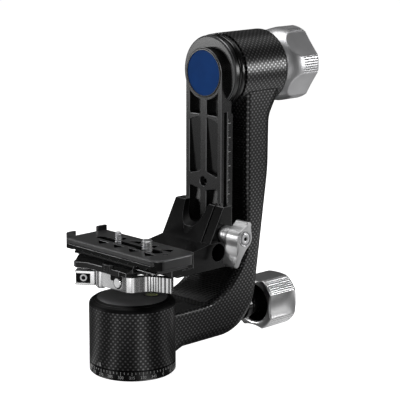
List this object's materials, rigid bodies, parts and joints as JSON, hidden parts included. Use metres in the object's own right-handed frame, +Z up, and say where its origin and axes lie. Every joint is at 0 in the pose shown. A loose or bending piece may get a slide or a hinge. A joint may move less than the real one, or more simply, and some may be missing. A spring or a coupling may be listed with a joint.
{
  "type": "gimbal tripod head",
  "caption": "Gimbal head for a tripod: a carbon arm pans on a round base and carries a swinging bar with a height-adjustable quick-release platform and clamping knobs.",
  "frame": {"origin": "mouth of the tripod thread, on the pan axis, in the base's bottom face", "axes": "+Z up along the pan axis; +X from the pan axis to the upright arm, along the tilt axis and both knobs; +Y along the lens direction of the camera plate, away from the wing knob"},
  "size_m": [0.2398, 0.1214, 0.2886],
  "materials": {
    "carbon": "woven carbon under a clear coat",
    "black_aluminium": "black anodised, satin",
    "grey_aluminium": "dark grey anodised, satin",
    "liner_rubber": "finely ribbed",
    "silver_aluminium": "clear anodised, bead blasted",
    "blue_aluminium": "blue anodised, turned",
    "vial": "clear",
    "brake_plastic": "plain",
    "steel": "turned"
  },
  "bodies": {
    "base": {"index_ring": "black_aluminium", "thread_insert": "steel", "pan_spindle": "black_aluminium", "spindle_screws": "steel", "pan_bearing_inner_rings": "steel", "pan_spindle_nut": "steel"},
    "arm": {"arm_shell": "carbon", "arm_liner": "liner_rubber", "leg_fairing": "black_aluminium", "pan_collar": "black_aluminium", "pan_cap": "grey_aluminium", "level_ring": "black_aluminium", "level_vial": "vial", "pan_bearing_outer_rings": "steel", "pan_bearing_balls": "steel", "tilt_bearing_outer_rings": "steel", "tilt_bearing_balls": "steel", "tilt_collar": "black_aluminium", "tilt_rear_cover": "black_aluminium", "rear_cover_screws": "steel", "pan_knob_collar": "black_aluminium"},
    "pan_brake": {"pan_brake_shoe": "brake_plastic"},
    "pan_knob": {"pan_knob_grip": "silver_aluminium", "pan_knob_shaft": "black_aluminium", "pan_knob_spacer": "black_aluminium", "pan_knob_cap": "silver_aluminium"},
    "tilt_brake": {"tilt_brake_disc": "brake_plastic"},
    "tilt_knob": {"tilt_knob_grip": "silver_aluminium", "tilt_knob_shaft": "steel", "tilt_knob_cap": "silver_aluminium"},
    "swing_arm": {"swing_bar": "black_aluminium", "badge_ring": "black_aluminium", "badge_disc": "blue_aluminium", "tilt_spindle": "black_aluminium", "head_bolts": "steel", "tilt_bearing_inner_rings": "steel", "tilt_spindle_nut": "steel", "bar_screw": "steel", "bar_stop_screw": "steel"},
    "bracket": {"bracket_body": "black_aluminium", "cheek_pins": "steel", "clamp_body": "black_aluminium", "clamp_screws": "steel", "jaw_guide_pins": "steel", "lever_pin": "steel"},
    "cheek": {"bracket_cheek": "black_aluminium"},
    "wing_knob": {"wing_knob_grip": "silver_aluminium", "wing_knob_collar": "silver_aluminium", "wing_knob_stud": "steel", "wing_knob_cap": "silver_aluminium"},
    "jaw": {"clamp_jaw": "black_aluminium"},
    "lever": {"lever_handle": "black_aluminium", "lever_block": "black_aluminium"},
    "button": {"lock_button": "steel"},
    "plate": {"camera_plate": "black_aluminium", "plate_lock_pin": "steel"},
    "small_screw": {"small_camera_screw": "steel"},
    "large_screw": {"large_camera_screw": "steel"}
  },
  "joints": [
    {"name": "pan", "type": "hinge", "parent": "base", "child": "arm", "pos_m": [0, 0, 0.03], "axis": [0, 0, 1], "continuous": true},
    {"name": "pan_brake_slide", "type": "slide", "parent": "arm", "child": "pan_brake", "axis": [-1, 0, 0], "range_m": [0, 0.001]},
    {"name": "pan_knob_turn", "type": "hinge", "parent": "arm", "child": "pan_knob", "pos_m": [0.17, 0, 0.03], "axis": [1, 0, 0], "range_deg": [0, 360]},
    {"name": "tilt_brake_slide", "type": "slide", "parent": "arm", "child": "tilt_brake", "axis": [-1, 0, 0], "range_m": [0, 0.001]},
    {"name": "tilt_knob_turn", "type": "hinge", "parent": "arm", "child": "tilt_knob", "pos_m": [0.18, 0, 0.2544], "axis": [1, 0, 0], "range_deg": [0, 360]},
    {"name": "tilt", "type": "hinge", "parent": "arm", "child": "swing_arm", "pos_m": [0.12, 0, 0.2544], "axis": [1, 0, 0], "continuous": true},
    {"name": "height", "type": "slide", "parent": "swing_arm", "child": "bracket", "axis": [0, 0, 1], "range_m": [0, 0.075]},
    {"name": "cheek_slide", "type": "slide", "parent": "bracket", "child": "cheek", "axis": [0, -1, 0], "range_m": [0, 0.0025]},
    {"name": "wing_knob_turn", "type": "hinge", "parent": "cheek", "child": "wing_knob", "pos_m": [0.0811, -0.05, 0.114], "axis": [0, -1, 0], "range_deg": [0, 720]},
    {"name": "lever_swing", "type": "hinge", "parent": "bracket", "child": "lever", "pos_m": [-0.0129, 0.0263, 0.08], "axis": [0, 0, -1], "range_deg": [0, 95]},
    {"name": "jaw_slide", "type": "slide", "parent": "bracket", "child": "jaw", "axis": [-1, 0, 0], "range_m": [0, 0.0035]},
    {"name": "button_press", "type": "slide", "parent": "lever", "child": "button", "axis": [1, 0, 0], "range_m": [0, 0.003], "stiffness_N_per_m": 150, "springref_m": -0.004},
    {"name": "plate_slide", "type": "slide", "parent": "bracket", "child": "plate", "axis": [0, 1, 0], "range_m": [-0.02, 0.02]},
    {"name": "small_screw_turn", "type": "hinge", "parent": "plate", "child": "small_screw", "pos_m": [0, 0.018, 0.11], "axis": [0, 0, 1], "continuous": true},
    {"name": "large_screw_turn", "type": "hinge", "parent": "plate", "child": "large_screw", "pos_m": [0, -0.0195, 0.11], "axis": [0, 0, 1], "continuous": true}
  ],
  "couplings": [
    {"joint": "pan_brake_slide", "follows": "pan_knob_turn", "m_per_rad": 0.000159},
    {"joint": "tilt_brake_slide", "follows": "tilt_knob_turn", "m_per_rad": 0.000159},
    {"joint": "cheek_slide", "follows": "wing_knob_turn", "m_per_rad": 0.00019874},
    {"joint": "jaw_slide", "follows": "lever_swing", "m_per_rad": 0.0021088}
  ]
}
